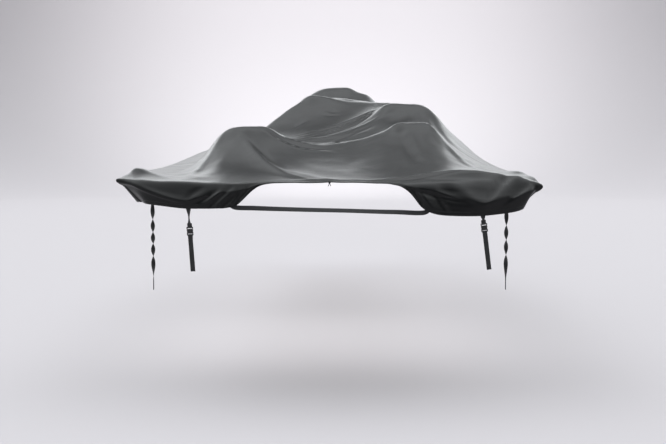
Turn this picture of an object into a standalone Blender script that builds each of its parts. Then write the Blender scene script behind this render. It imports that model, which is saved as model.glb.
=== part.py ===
"""A black polyester cover for a boat of about 5.4 m, as it hangs over the boat that it fits, with its straps.

Sizes are in metres: +X is starboard, +Y is towards the bow and +Z is up. The sheet is shaped over the boat's own
datum, the transom at y = 0 and the gunwale there at z = 0, and all of it is then moved so that the origin is under
the top of the cover, where the windscreen carries it.
"""

import math
from collections import namedtuple

import bmesh
import bpy
import numpy as np
from mathutils import Matrix, Quaternion, Vector

# The cloth's plan, along the boat's gunwale, from the stern to the shoulders of the bow.
stern_half_beam = 1.10
full_half_beam = 1.13
widest_at = 1.8
shoulder_at = 4.90
bow_taper_length = 3.75
bow_taper_power = 2.2
bow_reach = 0.50
bow_bend_from = 0.45
ear_reach = 0.03
ear_length = 0.10

# The gunwale's height along the sides.
port_rim_height = 0.070
starboard_rim_height = 0.060
rim_fall = 0.024
stern_dip_length = 0.09
bow_rise = 0.13
bow_rise_from = 2.0
bow_rise_length = 3.0

# The sheet, in cells across and along its top and down its skirt. The rows lie closer at the stern.
cloth_thickness = 0.002
top_columns = 38
top_rows = 32
skirt_cells = 5
even_row_share = 0.35
stern_set_length = 0.5

# How the sheet is drawn over what carries it: a finer lattice, and how slack the cloth is in its middle and bow.
lattice_columns = 76
lattice_rows = 96
settling_rounds = 500
over_relaxing = 1.9
lengthwise_pull = 2.5
stern_slack = 1.5
bow_slack = 0.30
bow_slack_from = 1.7
bow_slack_over = 1.2
first_height = 0.2
nothing_below = -1.0
fold_steps = 16
fold_end_share = 0.04

# The straps, of one webbing, the buckles of the two rear ones, and the knot in the hem's cord.
webbing_width = 0.025
webbing_thickness = 0.002
seam_gap = 0.0009
touch_gap = 0.0003
buckle_width = 0.034
buckle_height = 0.046
buckle_depth = 0.010
buckle_bevel = 0.003
knot_radius = 0.009
strap_end_length = 0.05
side_strap_steps = 26
rear_strap_steps = 5
tab_turns = (20, 55, 70, 55, 20, 0)
lining_reach = 0.4

# The row of the sheet over the top of the windscreen, whose middle is the origin.
carried_row = 21

# What the cloth lies over: a line from one end to the other, how far it sags between them, and how round its top is.
Support = namedtuple("Support", "x1 y1 z1 x2 y2 z2 sag roundness")
supports = {
    "port_seat": Support(-0.57, 0.95, 0.318, -0.42, 0.95, 0.332, 0.0, 0.12),
    "seat_to_console": Support(-0.42, 0.95, 0.320, 0.43, 0.90, 0.352, 0.108, 0.06),
    "console_near_edge": Support(0.43, 0.90, 0.352, 0.56, 0.90, 0.345, 0.0, 0.08),
    "console_far_edge": Support(0.42, 1.60, 0.475, 0.58, 1.60, 0.462, 0.0, 0.12),
    "console_side": Support(0.58, 1.60, 0.462, 0.64, 1.60, 0.410, 0.0, 0.05),
    "screen": Support(-0.12, 2.15, 0.540, 0.41, 2.15, 0.482, 0.0, 0.10),
    "screen_to_seat": Support(-0.12, 2.15, 0.535, -0.44, 1.80, 0.305, -0.015, 0.06),
    "screen_top": Support(-0.01, 2.65, 0.598, 0.12, 2.65, 0.602, 0.0, 0.20),
    "port_corner_cleat": Support(-1.08, 0.17, 0.104, -1.05, 0.26, 0.100, 0.0, 0.10),
    "starboard_corner_cleat": Support(1.05, 0.18, 0.090, 1.03, 0.26, 0.086, 0.0, 0.10),
    "port_side_deck": Support(-0.95, 0.30, 0.060, -1.00, 3.00, 0.050, 0.0, 0.60),
    "starboard_side_deck": Support(0.95, 0.30, 0.068, 1.00, 3.00, 0.030, 0.0, 0.60),
    "rear_deck": Support(-0.80, 0.25, 0.048, 0.00, 0.25, 0.052, 0.0, 0.50),
    "fore_deck": Support(0.00, 3.60, 0.250, 0.00, 4.90, 0.190, 0.0, 0.80),
    "console_to_gunwale": Support(0.64, 1.60, 0.415, 1.04, 1.60, 0.062, -0.010, 0.30),
}

# Where the cloth is drawn from the seats and the console down to the stern edge: the upper end of the run at each
# place across, and how far it sags on the way. To port it ends at a ridge, past which it falls away.
Run = namedtuple("Run", "x y z sag")
stern_runs = (
    Run(-0.55, 0.93, 0.320, 0.060),
    Run(-0.42, 0.95, 0.318, 0.055),
    Run(-0.20, 0.95, 0.240, 0.036),
    Run(0.00, 0.94, 0.222, 0.026),
    Run(0.20, 0.93, 0.246, 0.024),
    Run(0.43, 0.90, 0.345, 0.034),
    Run(0.56, 0.88, 0.340, 0.045),
    Run(0.66, 0.82, 0.262, 0.050),
    Run(0.70, 0.75, 0.180, 0.030),
    Run(0.76, 0.60, 0.110, 0.010),
    Run(0.90, 0.38, 0.040, 0.000),
)
Ridge = namedtuple("Ridge", "y x")
port_ridge = (Ridge(0.05, -0.05), Ridge(0.22, -0.24), Ridge(0.47, -0.36), Ridge(0.67, -0.45), Ridge(0.86, -0.53))
fall_to_port = 0.9
fall_ahead = 3.0

# Ridges (+) and troughs (-) in the top, as a smooth line from one end through its middle to the other.
Fold = namedtuple("Fold", "x1 y1 x2 y2 x3 y3 rise width")
folds = {
    "port_seat_to_strap": Fold(-0.57, 0.90, -0.66, 0.45, -0.76, 0.10, 0.022, 0.07),
    "console_to_corner": Fold(0.60, 0.86, 0.78, 0.66, 1.02, 0.30, 0.020, 0.06),
    "seat_to_stern_middle": Fold(-0.52, 0.86, -0.33, 0.40, -0.02, 0.06, 0.016, 0.05),
    "behind_the_swag": Fold(-0.36, 1.08, 0.00, 1.12, 0.38, 1.06, -0.045, 0.12),
    "screen_to_bow": Fold(0.05, 3.00, 0.02, 3.60, 0.00, 5.00, 0.070, 0.22),
    "port_flank": Fold(-0.84, 0.45, -0.90, 1.00, -0.98, 2.00, -0.030, 0.14),
    "port_seat_side": Fold(-0.82, 0.85, -0.82, 1.20, -0.80, 1.60, -0.018, 0.15),
}

# The stern edge from port to starboard, as a row for each station across: the edge where the cloth turns down,
# the crease below it where it turns upright, and the hem. y is how far each lies before or behind the transom.
Station = namedtuple("Station", "across edge_y edge_z crease_y crease_z hem_y hem_z")
stern = (
    Station(-1.000, 0.000, 0.052, 0.030, 0.000, 0.085, -0.078),
    Station(-0.900, 0.000, 0.048, -0.022, 0.010, 0.010, -0.080),
    Station(-0.800, 0.000, 0.042, -0.046, -0.020, -0.026, -0.088),
    Station(-0.680, 0.000, 0.036, -0.062, -0.054, -0.055, -0.102),
    Station(-0.580, 0.000, 0.030, -0.048, -0.024, -0.052, -0.102),
    Station(-0.480, 0.000, 0.029, -0.036, -0.012, -0.050, -0.100),
    Station(-0.430, 0.000, 0.029, -0.030, -0.012, -0.042, -0.090),
    Station(-0.385, 0.005, 0.030, -0.022, 0.002, -0.028, -0.033),
    Station(-0.340, 0.015, 0.033, 0.000, 0.024, -0.004, 0.016),
    Station(-0.280, 0.030, 0.037, 0.020, 0.035, 0.014, 0.030),
    Station(0.000, 0.035, 0.040, 0.024, 0.039, 0.016, 0.034),
    Station(0.280, 0.035, 0.037, 0.024, 0.036, 0.014, 0.030),
    Station(0.345, 0.040, 0.034, 0.010, 0.022, -0.002, 0.008),
    Station(0.390, 0.050, 0.036, -0.012, 0.004, -0.022, -0.026),
    Station(0.430, 0.065, 0.042, -0.024, -0.004, -0.046, -0.108),
    Station(0.500, 0.090, 0.056, -0.030, -0.018, -0.050, -0.136),
    Station(0.600, 0.120, 0.080, -0.042, -0.044, -0.058, -0.141),
    Station(0.705, 0.140, 0.094, -0.055, -0.070, -0.060, -0.141),
    Station(0.800, 0.130, 0.080, -0.042, -0.040, -0.040, -0.125),
    Station(0.900, 0.070, 0.062, -0.024, -0.006, 0.006, -0.104),
    Station(1.000, 0.000, 0.022, 0.030, -0.023, 0.085, -0.092),
)

# How far the skirt stands out (+) or is drawn in (-), and how far it hangs, at its crease and at its hem.
Profile = namedtuple("Profile", "crease_out crease_drop hem_out hem_drop")
plain_skirt = Profile(0.004, 0.045, -0.045, 0.150)
crease_share = 0.40

# The skirt's corners: how far along each edge one begins, and the round that it turns on, at the edge and how much
# that grows down to the hem.
Corner = namedtuple("Corner", "begins radius growth")
stern_corner = Corner(0.35, 0.006, 0.03)
bow_corner = Corner(0.35, 0.03, 0.30)
bow_corner_spread = 3
normal_step = 0.01

# The tie-downs, placed by column and row of the sheet: the rear ones hang straight to a foot below their buckle, and
# the side ones hang loose and twisted.
RearTie = namedtuple("RearTie", "side column buckle_z foot_x foot_y foot_z")
rear_ties = (
    RearTie("port", 11.5, -0.222, -0.727, -0.010, -0.440),
    RearTie("starboard", 37.4, -0.203, 0.850, -0.010, -0.430),
)
SideTie = namedtuple("SideTie", "side column inner_column row foot_z turns")
side_ties = (
    SideTie("port", 0, 1, 14.5, -0.660, 2.5),
    SideTie("starboard", 48, 47, 14.5, -0.660, 2.0),
)

# The transom strap between the flaps, from port to starboard, and how far its face is tipped up, in degrees. Its ends
# are sewn inside the flaps, where they pass these columns and rows of the sheet.
Place = namedtuple("Place", "x y z tip")
transom_strap = (
    Place(-0.500, -0.028, -0.096, 0),
    Place(-0.400, -0.032, -0.100, 14),
    Place(-0.280, -0.035, -0.104, 28),
    Place(-0.100, -0.036, -0.109, 36),
    Place(0.080, -0.036, -0.113, 38),
    Place(0.240, -0.036, -0.118, 34),
    Place(0.360, -0.035, -0.121, 24),
    Place(0.500, -0.030, -0.124, 0),
)
Seam = namedtuple("Seam", "column row")
transom_strap_port_seam = (Seam(13.3, 1.1), Seam(14.2, 1.0))
transom_strap_starboard_seam = (Seam(33.8, 0.8), Seam(34.7, 0.9))

aft = Vector((0, -1, 0))
up = Vector((0, 0, 1))


def smooth(value):
    """0 to 1 in an S between value = 0 and 1."""
    share = min(max(value, 0.0), 1.0)
    return share * share * (3 - 2 * share)


def bare_half_beam(y):
    """The cloth's half width along the gunwale."""
    beam = stern_half_beam + (full_half_beam - stern_half_beam) * smooth(y / widest_at)
    if y > widest_at:
        beam *= math.sqrt(1 - ((y - widest_at) / bow_taper_length) ** bow_taper_power)
    return beam


def half_beam(y):
    """The same, with the ears that it makes at the stern."""
    return bare_half_beam(y) + ear_reach * math.exp(-max(y, 0.0) / ear_length)


def rim(y, height, tip):
    """The gunwale's height at y, from its height near the stern and that of the stern corner's tip."""
    sheer = height - rim_fall * smooth(y / widest_at) + bow_rise * smooth((y - bow_rise_from) / bow_rise_length)
    return sheer + (tip - sheer) * math.exp(-((y / stern_dip_length) ** 2))


def row_place(share):
    """Where a row of the sheet meets the gunwale: the rows are close at the stern and wide apart at the bow."""
    return shoulder_at * (even_row_share * share + (1 - even_row_share) * share * share)


def station(across):
    """The stern table's values between two of its rows."""
    rows = np.array(stern)
    return Station(*[float(np.interp(across, rows[:, 0], rows[:, i])) for i in range(len(Station._fields))])


def plan(across, along):
    """The place on the boat of a point of the top, from -1 to 1 across and 0 to 1 along."""
    end = row_place(along)
    bend = bow_reach * smooth((along - bow_bend_from) / (1 - bow_bend_from))
    stern_set = station(across).edge_y * (1 - smooth(end / stern_set_length))
    return across * half_beam(end), end + bend * (1 - across * across) + stern_set


def carried(x, y):
    """The height of the highest support under a point, or a depth where there is none."""
    best = nothing_below
    for line in supports.values():
        run = Vector((line.x2 - line.x1, line.y2 - line.y1))
        share = Vector((x - line.x1, y - line.y1)).dot(run) / run.length_squared
        share = min(max(share, 0.0), 1.0)
        away = math.hypot(x - line.x1 - share * run.x, y - line.y1 - share * run.y)
        top = line.z1 + share * (line.z2 - line.z1) - line.sag * 4 * share * (1 - share)
        best = max(best, top - away * away / (2 * line.roundness))
    return best


def drawn_to_stern(x, y):
    """The height of the cloth where it is drawn to the stern edge."""
    places, *columns = zip(*stern_runs)
    far_y, far_z, sag = [np.interp(x, places, column) for column in columns]
    near = station(x / half_beam(y))
    share = min(max((y - near.edge_y) / (far_y - near.edge_y), 0.0), 1.0)
    height = near.edge_z + share * (far_z - near.edge_z) - sag * 4 * share * (1 - share)
    ridge_x = np.interp(y, *zip(*port_ridge))
    return height - fall_to_port * max(ridge_x - x, 0.0) - fall_ahead * max(y - far_y, 0.0)


def fold_height(x, y):
    """How far the folds lift a point of the top."""
    height = 0.0
    for fold in folds.values():
        away = math.inf
        nearest = 0.0
        for step in range(fold_steps + 1):
            share = step / fold_steps
            first = (1 - share) * (1 - 2 * share)
            middle = 4 * share * (1 - share)
            last = share * (2 * share - 1)
            gap_x = x - fold.x1 * first - fold.x2 * middle - fold.x3 * last
            gap_y = y - fold.y1 * first - fold.y2 * middle - fold.y3 * last
            gap = math.hypot(gap_x, gap_y)
            if gap < away:
                away = gap
                nearest = share
        nearest = min(max(nearest, fold_end_share), 1 - fold_end_share)
        taper = math.sqrt(math.sin(math.pi * nearest))
        height += fold.rise * taper * math.exp(-((away / fold.width) ** 2))
    return height


def stretched():
    """The heights of a slack sheet drawn over the supports, on a lattice across and along the top."""
    across = np.linspace(-1, 1, lattice_columns + 1)
    along = np.linspace(0, 1, lattice_rows + 1)
    places = np.array([[plan(a, b) for a in across] for b in along])
    floor = np.array([[max(carried(x, y), drawn_to_stern(x, y)) for x, y in row] for row in places])
    drawn_heights = np.full(floor.shape, first_height)
    drawn_heights[0] = [station(a).edge_z for a in across]
    for side, height in ((0, port_rim_height), (-1, starboard_rim_height)):
        drawn_heights[:, side] = [rim(row_place(b), height, stern[side].edge_z) for b in along]
    drawn_heights[-1] = np.linspace(drawn_heights[-1, 0], drawn_heights[-1, -1], lattice_columns + 1)
    settle(drawn_heights, places, floor)
    creases = np.array([[fold_height(x, y) for x, y in row] for row in places])
    drawn_heights[1:-1, 1:-1] += creases[1:-1, 1:-1]
    return drawn_heights


def settle(drawn_heights, places, floor):
    """Lets each point of the lattice sag between its neighbours, over and over, but never below what carries it."""
    step_x = np.diff(places[:, :, 0], axis=1)
    step_y = np.hypot(*np.moveaxis(np.diff(places, axis=0), 2, 0))
    both_steps = step_y[1:, 1:-1] + step_y[:-1, 1:-1]
    east = 1 / step_x[1:-1, 1:] ** 2
    west = 1 / step_x[1:-1, :-1] ** 2
    ahead = lengthwise_pull * 2 / (step_y[1:, 1:-1] * both_steps)
    behind = lengthwise_pull * 2 / (step_y[:-1, 1:-1] * both_steps)
    total = east + west + ahead + behind
    to_bow = np.vectorize(smooth)((places[1:-1, 1:-1, 1] - bow_slack_from) / bow_slack_over)
    slack = stern_slack + (bow_slack - stern_slack) * to_bow
    row, column = np.indices(total.shape)
    inner = drawn_heights[1:-1, 1:-1]
    for _ in range(settling_rounds):
        for parity in (0, 1):
            mean = east * drawn_heights[1:-1, 2:] + west * drawn_heights[1:-1, :-2]
            mean += ahead * drawn_heights[2:, 1:-1] + behind * drawn_heights[:-2, 1:-1]
            moved = np.maximum(inner + over_relaxing * ((mean - slack) / total - inner), floor[1:-1, 1:-1])
            chosen = (row + column) % 2 == parity
            inner[chosen] = moved[chosen]


heights = stretched()


def edge_place(across, along):
    """A point of the sheet's top, or on its edge, where the skirt begins."""
    x, y = plan(across, along)
    column = (across + 1) / 2 * lattice_columns
    row = along * lattice_rows
    left = min(int(column), lattice_columns - 1)
    back = min(int(row), lattice_rows - 1)
    right_share = column - left
    ahead_share = row - back
    behind = heights[back, left] * (1 - right_share) + heights[back, left + 1] * right_share
    ahead = heights[back + 1, left] * (1 - right_share) + heights[back + 1, left + 1] * right_share
    return Vector((x, y, behind * (1 - ahead_share) + ahead * ahead_share))


def hang(profile, depth):
    """How far out and how far down a point of the skirt is, from its crease and hem."""
    if depth < crease_share:
        share = depth / crease_share
        return profile.crease_out * share, profile.crease_drop * share
    share = (depth - crease_share) / (1 - crease_share)
    out = profile.crease_out + (profile.hem_out - profile.crease_out) * share
    drop = profile.crease_drop + (profile.hem_drop - profile.crease_drop) * share
    return out, drop


def stern_profile(across):
    """The stern skirt's crease and hem at a station, as offsets from its edge."""
    at = station(across)
    return Profile(at.edge_y - at.crease_y, at.edge_z - at.crease_z, at.edge_y - at.hem_y, at.edge_z - at.hem_z)


def mixed(first, second, share):
    """A profile between two others."""
    return Profile(*[a + (b - a) * share for a, b in zip(first, second)])


def side_normal(end, mirror):
    """The way out from the cloth's side at a place along it; mirror is 1 to starboard and -1 to port."""
    widening = (bare_half_beam(end + normal_step) - bare_half_beam(end)) / normal_step
    return Vector((mirror, -widening)).normalized()


def bow_normal(across):
    """The way out from the bow's edge."""
    return Vector((2 * bow_reach * across / half_beam(shoulder_at), 1)).normalized()


def skirt_place(across, along, side_depth, end_depth):
    """A point of the skirt. Both depths are over 0 only in a corner, where the cloth turns round it."""
    edge = edge_place(across, along)
    depth = max(side_depth, end_depth)
    mirror = -1 if across < 0 else 1
    at_stern = along < 0.5
    if at_stern:
        corner = stern_corner
        end_profile = stern_profile(across)
        tip_profile = stern_profile(mirror)
        end_normal = aft.xy
        corner_normal = end_normal
        from_corner = row_place(along)
    else:
        corner = bow_corner
        end_profile = plain_skirt
        tip_profile = plain_skirt
        end_normal = bow_normal(across)
        corner_normal = bow_normal(mirror)
        from_corner = (1 - along) * bow_corner_spread
    radius = corner.radius + corner.growth * depth
    side = side_normal(row_place(along), mirror)
    if side_depth > 0 and end_depth > 0:
        return corner_place(edge, side, end_normal, tip_profile, radius, side_depth, end_depth)
    if side_depth > 0:
        near = 1 - smooth(from_corner / corner.begins)
        profile = mixed(plain_skirt, tip_profile, near)
        normal = side
        beyond = corner_normal
    else:
        near = smooth((abs(across) - 1 + corner.begins) / corner.begins)
        profile = end_profile
        normal = end_normal
        beyond = side_normal(0 if at_stern else shoulder_at, mirror)
    out, drop = hang(profile, depth)
    along_edge = (beyond - normal * normal.dot(beyond)).normalized()
    shift = near * (out - radius) * math.tan(normal.angle(beyond) / 2)
    flat = edge.xy + normal * out + along_edge * shift
    return Vector((flat.x, flat.y, edge.z - drop))


def corner_place(edge, side, end, profile, radius, side_depth, end_depth):
    """A point of the skirt in a corner, on an arc that grows with its depth."""
    out, drop = hang(profile, max(side_depth, end_depth))
    if side_depth >= end_depth:
        share = end_depth / (2 * side_depth)
    else:
        share = 1 - side_depth / (2 * end_depth)
    turn = side.angle(end)
    middle = (side + end) / (1 + math.cos(turn))
    way = side * math.sin((1 - share) * turn) + end * math.sin(share * turn)
    flat = edge.xy + middle * (out - radius) + way.normalized() * radius
    return Vector((flat.x, flat.y, edge.z - drop))


def stations(cells):
    """The shares along one way of the sheet, and the skirt's depth at each, from one hem to the other."""
    before = [(0.0, 1 - i / skirt_cells) for i in range(skirt_cells)]
    middle = [(i / cells, 0.0) for i in range(cells + 1)]
    after = [(1.0, (i + 1) / skirt_cells) for i in range(skirt_cells)]
    return before + middle + after


across_stations = stations(top_columns)
along_stations = stations(top_rows)
middle_column = skirt_cells + top_columns / 2
last_column = len(across_stations) - 1


def cloth_place(column, row):
    """A point of the sheet, on its top or its skirt, by its whole column and row."""
    across, side_depth = across_stations[column]
    along, end_depth = along_stations[row]
    if side_depth > 0 or end_depth > 0:
        return skirt_place(across * 2 - 1, along, side_depth, end_depth)
    return edge_place(across * 2 - 1, along)


def between(column, row):
    """A point of the sheet that may lie between two columns or two rows."""
    found = Vector((0, 0, 0))
    for across_step in (0, 1):
        for along_step in (0, 1):
            weight = abs(1 - across_step - column % 1) * abs(1 - along_step - row % 1)
            at_column = min(int(column) + across_step, last_column)
            found += cloth_place(at_column, int(row) + along_step) * weight
    return found


datum = between(middle_column, skirt_cells + carried_row) - up * cloth_thickness


def finish(name, mesh_object, colour, roughness):
    """Names an object, gives it its material and files it in the cover's collection."""
    mesh_object.name = name
    mesh_object.data.name = name
    material = bpy.data.materials.new(name)
    material.use_nodes = True
    shader = material.node_tree.nodes["Principled BSDF"]
    shader.inputs["Base Color"].default_value = (*colour, 1)
    shader.inputs["Roughness"].default_value = roughness
    shader.inputs["Metallic"].default_value = 0
    mesh_object.data.materials.append(material)
    for holder in mesh_object.users_collection:
        holder.objects.unlink(mesh_object)
    cover.objects.link(mesh_object)
    return mesh_object


def laid_sheet(name, columns, rows, place, thickness, offset):
    """A flat grid whose points are each moved to their place, then given its thickness."""
    mesh = bpy.data.meshes.new(name)
    shape = bmesh.new()
    bmesh.ops.create_grid(shape, x_segments=columns, y_segments=rows, size=1)
    for vertex in shape.verts:
        column = round((vertex.co.x + 1) / 2 * columns)
        row = round((vertex.co.y + 1) / 2 * rows)
        vertex.co = place(column, row) - datum
    shape.to_mesh(mesh)
    shape.free()
    sheet = bpy.data.objects.new(name, mesh)
    bpy.context.scene.collection.objects.link(sheet)
    solid = sheet.modifiers.new("thickness", "SOLIDIFY")
    solid.thickness = thickness
    solid.offset = offset
    return sheet


def make_cloth():
    """The one sheet: the top, the skirt all round it and the hem."""
    last_row = len(along_stations) - 1
    sheet = laid_sheet("cover_cloth", last_column, last_row, cloth_place, cloth_thickness, -1)
    return finish("cover_cloth", sheet, (0.025, 0.026, 0.028), 0.5)


def make_webbing(name, path, faces):
    """A strap of webbing along a path, with the way that its face looks at each point of it."""

    def place(column, row):
        ahead = path[min(row + 1, len(path) - 1)] - path[max(row - 1, 0)]
        side = ahead.cross(faces[row]).normalized()
        return path[row] + side * webbing_width * (column - 0.5)

    strap = laid_sheet(name, 1, len(path) - 1, place, webbing_thickness, 0)
    return finish(name, strap, (0.012, 0.012, 0.013), 0.7)


def drawn(start, end, count):
    """Points evenly shared out along a straight run."""
    return [start.lerp(end, i / count) for i in range(count + 1)]


def turned(face, axis, degrees):
    """A strap's face after a turn about its own run."""
    return Quaternion(axis, math.radians(degrees)) @ face


def lining(column, row, outward):
    """The middle of a strap where it is sewn just inside the sheet, and the way that the sheet faces there."""
    right = min(column + lining_reach, last_column)
    beside = between(right, row) - between(max(column - lining_reach, 0), row)
    above = between(column, row + lining_reach) - between(column, max(row - lining_reach, 0))
    face = above.cross(beside).normalized()
    if face.dot(outward) < 0:
        face = -face
    return between(column, row) - face * (cloth_thickness + seam_gap + webbing_thickness / 2), face


def make_rear_tie(tie):
    """One rear tie-down: a tab sewn inside the hem, a buckle, and the strap below it."""
    sewn_top = lining(tie.column, 1, aft)[0]
    sewn_foot, face = lining(tie.column, 0, aft)
    foot = Vector((tie.foot_x, tie.foot_y, tie.foot_z))
    run = foot - sewn_foot
    at_buckle = sewn_foot + run * ((tie.buckle_z - sewn_foot.z) / run.z)
    half = run.normalized() * (buckle_height / 2 + touch_gap)
    tab = [sewn_top] + drawn(sewn_foot, at_buckle - half, len(tab_turns))
    make_webbing("tab_" + tie.side, tab, [face] * 2 + [turned(aft, -up, turn) for turn in tab_turns])
    strap = drawn(at_buckle + half, foot, rear_strap_steps)
    make_webbing("strap_rear_" + tie.side, strap, [aft] * len(strap))
    make_buckle("buckle_" + tie.side, at_buckle, run)


def make_buckle(name, centre, run):
    """A plastic buckle in line with its strap, as one block with its edges rounded."""
    bpy.ops.mesh.primitive_cube_add(size=1, location=centre - datum)
    buckle = bpy.context.object
    buckle.scale = (buckle_width, buckle_depth, buckle_height)
    bpy.ops.object.transform_apply(location=False, rotation=False, scale=True)
    upward = -run.normalized()
    across = upward.cross(aft).normalized()
    buckle.rotation_euler = Matrix((across, upward.cross(across), upward)).transposed().to_euler()
    edge = buckle.modifiers.new("edges", "BEVEL")
    edge.width = buckle_bevel
    edge.segments = 2
    return finish(name, buckle, (0.015, 0.015, 0.016), 0.4)


def make_side_tie(tie):
    """One side tie-down, sewn inside the hem, which hangs twisted."""
    outward = Vector((tie.column - tie.inner_column, 0, 0))
    sewn_top = lining(tie.inner_column, tie.row, outward)[0]
    sewn_foot, face = lining(tie.column, tie.row, outward)
    below = Vector((sewn_foot.x, sewn_foot.y, tie.foot_z))
    loose = drawn(sewn_foot, below + up * strap_end_length, side_strap_steps)
    twist = [360 * tie.turns * smooth(i / side_strap_steps) for i in range(1, side_strap_steps + 1)]
    faces = [face, face] + [turned(outward.normalized(), -up, turn) for turn in twist]
    return make_webbing("strap_side_" + tie.side, [sewn_top] + loose + [below], faces + [faces[-1]])


def make_transom_strap():
    """The strap from flap to flap behind the open middle of the stern hem."""
    port = [lining(seam.column, seam.row, aft) for seam in transom_strap_port_seam]
    starboard = [lining(seam.column, seam.row, aft) for seam in transom_strap_starboard_seam]
    path = [Vector((place.x, place.y, place.z)) for place in transom_strap]
    faces = [turned(aft, Vector((-1, 0, 0)), place.tip) for place in transom_strap]
    route = port + list(zip(path, faces)) + starboard
    return make_webbing("strap_transom", [point for point, face in route], [face for point, face in route])


def make_knot():
    """The knot of the hem's cord, where it comes out at the middle of the stern hem."""
    centre = between(middle_column, 0) + aft * (knot_radius + touch_gap) - datum
    bpy.ops.mesh.primitive_uv_sphere_add(segments=12, ring_count=8, radius=knot_radius, location=centre)
    knot = bpy.context.object
    knot.data.shade_smooth()
    return finish("hem_knot", knot, (0.012, 0.012, 0.013), 0.7)


for leftover in list(bpy.data.objects):
    bpy.data.objects.remove(leftover)
cover = bpy.data.collections.new("boat cover")
bpy.context.scene.collection.children.link(cover)
make_cloth()
for rear_tie in rear_ties:
    make_rear_tie(rear_tie)
for side_tie in side_ties:
    make_side_tie(side_tie)
make_transom_strap()
make_knot()
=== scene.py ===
import math

import bpy
import numpy as np
from mathutils import Matrix, Quaternion, Vector, noise


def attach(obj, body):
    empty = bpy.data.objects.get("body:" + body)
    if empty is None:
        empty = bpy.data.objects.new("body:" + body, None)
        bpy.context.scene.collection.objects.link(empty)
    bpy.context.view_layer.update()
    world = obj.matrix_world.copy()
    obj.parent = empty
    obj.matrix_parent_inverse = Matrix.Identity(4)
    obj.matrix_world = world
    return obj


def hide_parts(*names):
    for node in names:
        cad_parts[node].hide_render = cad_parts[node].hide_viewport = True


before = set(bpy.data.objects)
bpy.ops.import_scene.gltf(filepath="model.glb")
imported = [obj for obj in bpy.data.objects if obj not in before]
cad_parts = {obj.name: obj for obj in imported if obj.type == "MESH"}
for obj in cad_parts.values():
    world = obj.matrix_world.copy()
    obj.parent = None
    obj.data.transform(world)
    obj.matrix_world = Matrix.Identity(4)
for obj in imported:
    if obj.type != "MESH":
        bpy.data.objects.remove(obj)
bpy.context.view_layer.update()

# A black polyester cover as it hangs over a boat, with its straps, buckles and hem cord.
# Metres: +X starboard, +Y to the bow, +Z up. Shapes are worked out over the boat's own datum, the transom
# at y = 0 and the gunwale there at z = 0, then moved by boatDatum, so that the origin is where the
# windscreen carries the top.
boatDatum = Vector((0.0, 2.6553, 0.5983))
aft = Vector((0, -1, 0))
up = Vector((0, 0, 1))
bpy.ops.object.select_all(action="DESELECT")

# The camera first: behind the stern, a little above the gunwale, looking slightly down.
camera = {"place": (0.0185, -8.6553, -0.2183), "lookDown": 5.3, "lens": 61.3, "sensor": 36}
bpy.ops.object.camera_add(location=camera["place"], rotation=(math.radians(90 - camera["lookDown"]), 0, 0))
lookout = bpy.context.object
lookout.name = "lookout"
lookout.data.sensor_width = camera["sensor"]
lookout.data.lens = camera["lens"]
bpy.context.scene.camera = lookout


def smooth(value):
    share = np.clip(value, 0, 1)
    return share * share * (3 - 2 * share)


def hexColour(code):
    # sRGB hex to the linear values that a shader takes
    values = [int(code[i:i + 2], 16) / 255 for i in (1, 3, 5)]
    return [v / 12.92 if v <= 0.04045 else ((v + 0.055) / 1.055) ** 2.4 for v in values] + [1]


def addNode(tree, kind, settings=None, values=None, links=None):
    # each link is from an earlier node's output, given as (node, output)
    node = tree.nodes.new(kind)
    for name, value in (settings or {}).items():
        setattr(node, name, value)
    for name, value in (values or {}).items():
        node.inputs[name].default_value = value
    for name, (source, output) in (links or {}).items():
        tree.links.new(source.outputs[output], node.inputs[name])
    return node


def bandScale(pitch):
    # the scale at which a wave texture's bands lie one pitch apart
    return math.pi / 10 / pitch


def newMaterial(name, colour=None, **values):
    material = bpy.data.materials.new(name)
    material.use_nodes = True
    shader = material.node_tree.nodes["Principled BSDF"]
    if colour:
        shader.inputs["Base Color"].default_value = hexColour(colour)
    for key, value in values.items():
        shader.inputs[key].default_value = value
    return material, material.node_tree, shader


def placed(name, data):
    # a new object that holds the data, linked to the scene and active
    piece = bpy.data.objects.new(name, data)
    bpy.context.scene.collection.objects.link(piece)
    bpy.context.view_layer.objects.active = piece
    return piece


def applied(piece, name, kind, **settings):
    # a modifier, set up and applied
    modifier = piece.modifiers.new(name, kind)
    for key, value in settings.items():
        setattr(modifier, key, value)
    bpy.context.view_layer.objects.active = piece
    bpy.ops.object.modifier_apply(modifier=name)


# The boat's outline, which the cover follows.
boat = {
    "sternHalfBeam": 1.10, "fullHalfBeam": 1.13, "widestAt": 1.8, "shoulderAt": 4.90,
    "bowTaperLength": 3.75, "bowTaperPower": 2.2, "bowReach": 0.50, "bowBendFrom": 0.45, "evenBend": 0.35,
    "earReach": 0.03, "earLength": 0.10, "earRound": 0.017,
    "portRim": 0.070, "starboardRim": 0.060, "rimFall": 0.024, "sternDip": 0.09,
    "bowRise": 0.13, "bowRiseFrom": 2.0, "bowRiseLength": 3.0, "sternSetLength": 0.5,
}
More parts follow.
